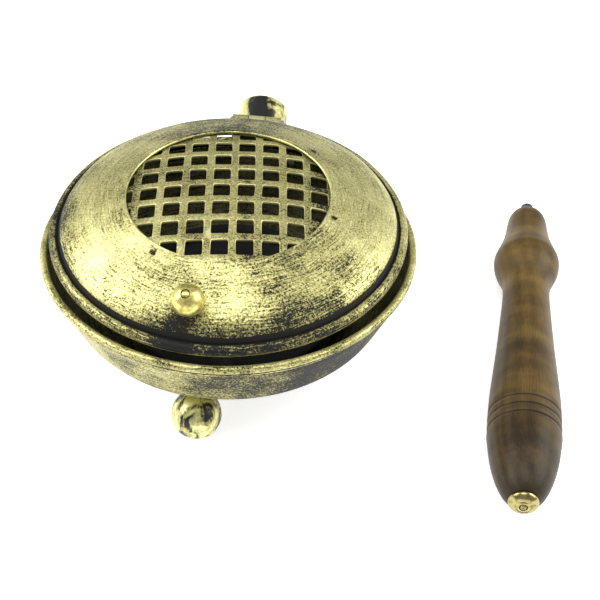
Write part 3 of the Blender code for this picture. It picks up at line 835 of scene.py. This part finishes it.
def clip_round(loop):
    """The part of a loop inside the open round, with the round's own arc closing it."""
    fine = divided(loop, 6)
    kept = [math.hypot(*spot) <= GRILLE_OPEN_R for spot in fine]
    if all(kept):
        return [tuple(spot) for spot in loop]
    if not any(kept):
        return []
    first = next(i for i in range(len(fine)) if kept[i] and not kept[i - 1])
    fine = fine[first:] + fine[:first]
    kept = kept[first:] + kept[:first]
    made = []
    for i, spot in enumerate(fine):
        if kept[i]:
            made.append(spot)
        elif kept[i - 1]:
            back = next((fine[j] for j in range(i, len(fine)) if kept[j]), fine[0])
            start = math.atan2(fine[i - 1][1], fine[i - 1][0])
            sweep = (math.atan2(back[1], back[0]) - start) % math.tau
            if sweep < math.pi:
                steps = max(2, round(sweep * GRILLE_OPEN_R))
                made += [(GRILLE_OPEN_R * math.cos(start + sweep * k / steps),
                          GRILLE_OPEN_R * math.sin(start + sweep * k / steps)) for k in range(steps + 1)]
    spaced = []
    for spot in made:
        if not spaced or math.dist(spot, spaced[-1]) > 0.3:
            spaced.append(spot)
    if math.dist(spaced[0], spaced[-1]) < 0.3:
        spaced.pop()
    return spaced


def loop_area(loop):
    """The area inside a loop, whichever way it runs."""
    return abs(sum(a[0] * b[1] - b[0] * a[1] for a, b in zip(loop, loop[1:] + loop[:1]))) / 2


def shifted(loop, distance):
    """A loop that runs anticlockwise, moved outwards by a distance."""
    moved = []
    for before, spot, after in zip(loop[-1:] + loop[:-1], loop, loop[1:] + loop[:1]):
        run = Vector((after[0] - before[0], after[1] - before[1])).normalized()
        moved.append((spot[0] + run.y * distance, spot[1] - run.x * distance))
    return moved


def pierced_plate(name, outer, holes, height, edge):
    """A flat plate on an outer loop with holes in it, in mm, all its edges rounded."""
    turn = [math.radians(30 * i) for i in range(4)]
    top = [(edge * (1 - math.sin(a)), height / 2 - edge * (1 - math.cos(a))) for a in turn]
    levels = top + [(inset, -z) for inset, z in reversed(top)]
    points, faces, flat, outlines, upper = [], [], [], [], []
    for number, loop in enumerate([outer] + holes):
        side = -1 if number == 0 else 1
        base, count = len(points), len(loop)
        for inset, z in levels:
            points += [(x * MM, y * MM, z * MM) for x, y in shifted(loop, side * inset)]
        for level in range(len(levels) - 1):
            row = base + level * count
            faces += [(row + i, row + (i + 1) % count, row + count + (i + 1) % count, row + count + i)
                      for i in range(count)]
        outlines.append(list(range(len(flat), len(flat) + count)))
        flat += [Vector(spot) for spot in shifted(loop, side * edge)]
        upper += [(base + i, base + (len(levels) - 1) * count + i) for i in range(count)]
    made = geometry.delaunay_2d_cdt(flat, [], outlines, 1, 1e-5)
    for face, inside in zip(made[2], made[5]):
        if list(inside) == [0]:
            corners = [upper[made[3][corner][0]] for corner in face]
            faces.append([corner[0] for corner in corners])
            faces.append([corner[1] for corner in reversed(corners)])
    mesh = bpy.data.meshes.new(name)
    mesh.from_pydata(points, [], faces)
    return add(name, mesh)


def divided(loop, steps):
    """A loop with each of its sides cut into equal steps."""
    return [tuple(Vector(a).lerp(Vector(b), i / steps)) for a, b in zip(loop, loop[1:] + loop[:1])
            for i in range(steps)]


def hole_loops():
    """The outlines of the holes that lie inside the open round, without the slivers."""
    reach = range(-5, 6)
    for column in reach:
        for row in reach:
            middle = (HOLE_START[0] + column * HOLE_PITCH[0], HOLE_START[1] + row * HOLE_PITCH[1])
            if math.hypot(*middle) < GRILLE_OPEN_R + 1.5:
                loop = hole_outline(column, row)
                if len(loop) > 2 and loop_area(loop) > 2.0:
                    yield loop


def make_grille():
    """A pierced flat disc with rounded edges, bent to its dome point by point."""
    turn = [math.tau * i / 160 for i in range(160)]
    outer = [(GRILLE_R * math.cos(a), GRILLE_R * math.sin(a)) for a in turn]
    holes = [divided(loop, 2) for loop in hole_loops()]
    disc = pierced_plate("lattice", outer, holes, SHEET, 0.24)
    for vertex in disc.data.vertices:
        radius = math.hypot(vertex.co.x, vertex.co.y) / MM
        sway = noise.noise(Vector((vertex.co.x, vertex.co.y, 0.0)) / MM * 0.09)
        vertex.co.z += (grille_top(radius) - SHEET / 2 - 0.12 * max(sway, 0.0)) * MM
    tidy_mesh(disc.data)
    disc.rotation_euler = (0, 0, GRILLE_TURN)

    def cover(spot):
        # Painted shade: darker near the left and right edges, next to the lid's opening edge; also a narrow
        # darker band just right of the middle.
        edge_shade_and_band = -0.4 * bump_at(spot.x, 31.0, 7.0) - 0.3 * bump_at(spot.x, -34.0, 7.0)
        edge_shade_and_band -= 0.2 * bump_at(spot.x, 6.0, 3.0)
        top = grille_top(math.hypot(spot.x, spot.y))
        return edge_shade_and_band + (1.2 if spot.z < top - 0.08 else 0.0)

    attribute(disc, "cover", cover)
    look = brushed_gold("grille_paint", cover=0.55, strokes=0.15, specks=0.8, patch=0.35)
    finish(disc, "cover", "grille", look)


def make_knob():
    angle = -math.pi / 2 - KNOB_TURN
    foot = Vector((KNOB_FOOT[0] * math.cos(angle), KNOB_FOOT[0] * math.sin(angle), KNOB_FOOT[1]))
    up = polar(angle, KNOB_LEAN)
    radius, centre, bore, flat = 5.2, 5.75, 1.5, 1.35
    high = math.degrees(math.acos(bore / radius))
    low = -math.degrees(math.asin((centre - flat) / radius))
    ball = arc((0, centre), radius, high, low, 40) + [(bore, flat)]
    knob = lathe("knob_ball", ball, SMALL_ROUND, closed=True, sharp=math.radians(50))

    # Darker in a ring round the screw's end at the top, and painted shade on the ball's underside.
    def dirt_and_shade(spot):
        ring = bump_at(math.hypot(spot.x, spot.y), 1.5, 0.3) * (1.0 if spot.z > 7 else 0.0)
        return -0.3 * ring - 0.7 * bump_at(spot.z, 0.8, 2.2)

    attribute(knob, "cover", dirt_and_shade)
    stand(knob, foot, up)
    finish(knob, "cover", "knob", smooth_gold("knob_paint"))
    ring = [(1.5, 1.05), (2.45, 1.05), (2.6, 0.9), (2.6, 0.45), (2.45, 0.3), (1.5, 0.3)]
    collar = stand(lathe("knob_ring", ring, 48, closed=True), foot, up)
    # Painted shade: the collar under the ball is matt black, where the ball's shadow falls.
    finish(collar, "cover", "knob_collar", COLLAR_SHADE_BLACK)
    ring = [(1.5, -1.4), (3.1, -1.4), (3.2, -1.5), (3.2, -2.1), (3.1, -2.2), (1.5, -2.2)]
    washer = stand(lathe("knob_disc", ring, 48, closed=True), foot, up)
    finish(washer, "cover", "knob_washer", STEEL)
    tip = centre + radius
    shank = [(0.0, tip + 0.1), (0.5, tip + 0.07), (0.9, tip - 0.05), (1.2, tip - 0.35), (1.2, -2.5)]
    head = [(2.3, -2.5), (2.4, -2.6), (2.4, -3.2), (1.9, -3.7), (1.0, -3.85), (0.0, -3.9)]
    screw = stand(lathe("knob_bolt", shank + head, 48), foot, up)
    attribute(screw, "cover", lambda spot: 0.0)
    finish(screw, "cover", "knob_screw", smooth_gold("knob_bolt_paint"))


def make_leaf():
    """The strap from the hinge to the underside of the lid."""
    ring = arc((HINGE.y, HINGE.z), KNUCKLE_R, -135, 178, 36)
    top = [(57.0, 2.4), (56.4, 3.6)]
    inside_lid = [(55.6, 6.0), (52.4, 10.7), (51.6, 9.8), (54.5, 5.5)]
    under = [(55.0, 2.2), (56.4, 0.4), (64.6, 0.4)]
    lifted = [(tilt() @ (Vector((0, y, RIM_Z + z)) * MM)) / MM for y, z in inside_lid]
    outline = ring + [(y, RIM_Z + z) for y, z in top] + [(spot.y, spot.z) for spot in lifted]
    outline += [(y, RIM_Z + z) for y, z in under]
    hole = arc((HINGE.y, HINGE.z), PIN_HOLE_R, 0, -350, 30)
    middle = prism("leaf_middle", [outline, hole], -3.0, 3.0, 0.15)
    cut, backwards = (0, HINGE.y - 2.9, 0), Vector((0, 1, 0))
    sides = [trim(prism("leaf_side", [outline, hole], low, high, 0.15), cut, backwards)
             for low, high in ((-7.5, -3.0), (3.0, 7.5))]
    leaf = joined("hinge_strap", middle, *sides)
    attribute(leaf, "cover", lambda spot: 0.6)
    # The strap is blackened, more where it lies inside the lid; that darker part is painted shade.
    attribute(leaf, "soot_and_shade", lambda spot: 0.9 if spot.y < 58 else 0.55)
    look = brushed_gold("strap_paint", cover=1.0, rises=2.0, outs=1.0)
    finish(leaf, "cover", "lid_hinge_leaf", look)
    slope = math.radians(44)
    along = Vector((0, math.sin(slope), math.cos(slope)))
    for side, name in ((-1, "left"), (1, "right")):
        seat = Vector((side * 5.0, math.sqrt(56.9 ** 2 - 25.0), RIM_Z + 9.5))
        head = [(0.0, 0.95), (0.6, 0.93), (1.1, 0.85), (1.5, 0.6), (1.7, 0.35), (1.0, 0.35)]
        tail = [(1.0, -4.75), (1.5, -4.75), (1.4, -5.2), (0.0, -5.3)]
        rivet = stand(lathe("strap_rivet_" + name, head + tail, 32), seat, along)
        attribute(rivet, "cover", lambda spot: 0.0)
        finish(rivet, "cover", "lid_rivet_" + name, smooth_gold("rivet_paint_" + name))


# ---------------------------------------------------------------- the handle

def make_handle():
    tenon = [(4.4, 149.4), (5.4, 148.8), (6.3, 147.8), (7.3, 145.2), (7.85, 141.5), (8.35, 136.5),
             (8.95, 132.3), (9.8, 128.4), (10.8, 124.8), (11.9, 120.9)]
    tip = [(2.8, GRIP_LONG)] + smooth(tenon)
    bulge = smooth([(12.25, 119.6), (12.4, 118.0), (12.1, 114.6), (10.9, 110.6), (9.6, 107.2), (8.9, 103.9),
                    (8.65, 99.5), (8.9, 92.0), (10.2, 69.7), (11.36, 54.0), (12.0, 45.0), (12.25, 38.5)])
    rings = []
    for height in GRIP_RINGS:
        rings += [(12.33, height + 0.6), (12.2, height + 0.35), (11.85, height), (12.2, height - 0.35),
                  (12.38, height - 0.6), (12.4, height - 1.4)]
    butt = smooth([(12.25, 24.8), (11.24, 16.5), (9.8, 9.9), (8.2, 5.2), (6.8, 2.3), (5.4, 0.4), (4.9, 0.0)])
    grip = lathe("grip", tip + bulge + rings + butt + [(2.8, 0.0)], 112, closed=True)

    def tone(spot):
        grooves = sum(bump_at(spot.z, height, 0.6) for height in GRIP_RINGS)
        rim = bump_at(spot.z, 120.3, 1.2)
        end = 1.9 * bump_at(spot.z, 0.0, 40.0) + 0.5 * bump_at(spot.z, GRIP_LONG, 3.0)
        return -0.16 * grooves + 0.05 * rim - 0.07 * end

    attribute(grip, "cover", tone)
    stand(grip, BUTT, SCREW_AXIS)
    finish(grip, "handle", "handle_grip", walnut("walnut"))

    stud = GRIP_LONG + ROD_OUT

    def thread(z, turn):
        if z < GRIP_LONG - 3 or z > stud - 0.05:
            return 0.0
        phase = (z / 0.8 - turn / math.tau) % 1.0
        return -0.38 * (1 - abs(2 * phase - 1))

    rows = 90
    shank = [(2.5 - 0.8 * max(0.0, 1 - i / 8) ** 1.2, stud - 8.5 * i / rows) for i in range(rows + 1)]
    tail = [(2.5, 2.0), (1.1, 2.0), (1.1, -2.5), (0.95, -2.9), (0.6, -3.1), (0.0, -3.2)]
    rod = lathe("stud_rod", [(0.0, stud)] + shank + tail, 48, thread=thread, sharp=math.radians(70))
    attribute(rod, "brassy", lambda spot: 1.0 if spot.z < 0 and math.hypot(spot.x, spot.y) > 0.4 else 0.0)
    stand(rod, BUTT, SCREW_AXIS)
    finish(rod, "handle", "handle_rod", worn_steel("dark_steel", (0.10, 0.10, 0.10), 0.42))

    dome = [(1.4, -0.3), (4.7, -0.3), (4.9, -0.45), (4.9, -0.75)]
    dome += smooth([(4.8, -1.05), (4.4, -1.6), (3.7, -2.15), (3.1, -2.45)], 4)
    ring = [(2.75, -2.58), (2.6, -2.45), (2.4, -2.5), (2.2, -2.72), (1.6, -2.85), (1.4, -2.75)]
    cap = stand(lathe("butt_button", dome + ring, SMALL_ROUND, closed=True), BUTT, SCREW_AXIS)
    finish(cap, "handle", "butt_cap", polished_brass("brass"))


# ---------------------------------------------------------------- studio

def plain(name, colour, glow):
    """One even colour that glows a little."""
    g = Graph(name)
    g.surface(Base_Color=colour, Roughness=0.9, Emission_Color=(1.0, 1.0, 1.0), Emission_Strength=glow)
    return g.material


def make_studio():
    bpy.ops.mesh.primitive_plane_add(size=6.0, location=(0, 0, FLOOR_Z * MM))
    floor = bpy.context.object
    floor.name = "floor"
    floor.data.materials.append(plain("floor_white", (0.82, 0.82, 0.82), FLOOR_GLOW))
    world = bpy.data.worlds.new("studio")
    bpy.context.scene.world = world
    world.use_nodes = True
    background = world.node_tree.nodes["Background"]
    background.inputs["Color"].default_value = (1.0, 1.0, 1.0, 1.0)
    background.inputs["Strength"].default_value = WORLD_LIGHT
    soft_light("left", (-0.75, -0.05, 0.55), 0.8, 8.0)
    soft_light("right", (0.80, 0.10, 0.50), 0.8, 7.0)
    soft_light("top", (0.0, -0.2, 1.0), 0.6, 4.5)


def soft_light(name, place, size, power):
    """A round lamp that faces the middle of the scene: metres and watts."""
    lamp = bpy.data.lights.new(name, "AREA")
    lamp.shape = "DISK"
    lamp.size = size
    lamp.energy = power
    light = bpy.data.objects.new(name, lamp)
    bpy.context.scene.collection.objects.link(light)
    light.location = place
    light.rotation_euler = (-Vector(place)).to_track_quat("-Z", "Y").to_euler()


def make_camera():
    """41 degrees above the table, turned a little, with a roll of about 2 degrees."""
    forward = Vector(CAMERA_FORWARD).normalized()
    right = forward.cross(UP).normalized()
    up = right.cross(forward)
    side = right * math.cos(CAMERA_ROLL) + up * math.sin(CAMERA_ROLL)
    top = up * math.cos(CAMERA_ROLL) - right * math.sin(CAMERA_ROLL)
    data = bpy.data.cameras.new("camera")
    data.lens = CAMERA_LENS
    data.sensor_width = 36.0
    data.clip_start = 0.01
    camera = bpy.data.objects.new("camera", data)
    bpy.context.scene.collection.objects.link(camera)
    camera.matrix_world = Matrix((
        (side.x, top.x, -forward.x, CAMERA_PLACE[0]),
        (side.y, top.y, -forward.y, CAMERA_PLACE[1]),
        (side.z, top.z, -forward.z, CAMERA_PLACE[2]),
        (0, 0, 0, 1)))
    bpy.context.scene.camera = camera


bpy.context.scene.view_settings.view_transform = "Standard"
STEEL = worn_steel("worn_steel")
COLLAR_SHADE_BLACK = soot_and_shade("collar_shade_black")
make_studio()
make_camera()
make_bowl()
for number, name in enumerate(("front", "right", "left")):
    make_foot(name, number)
make_pan()
make_bracket()
make_pin()
make_socket()
make_lid()
make_grille()
make_knob()
make_leaf()
make_handle()
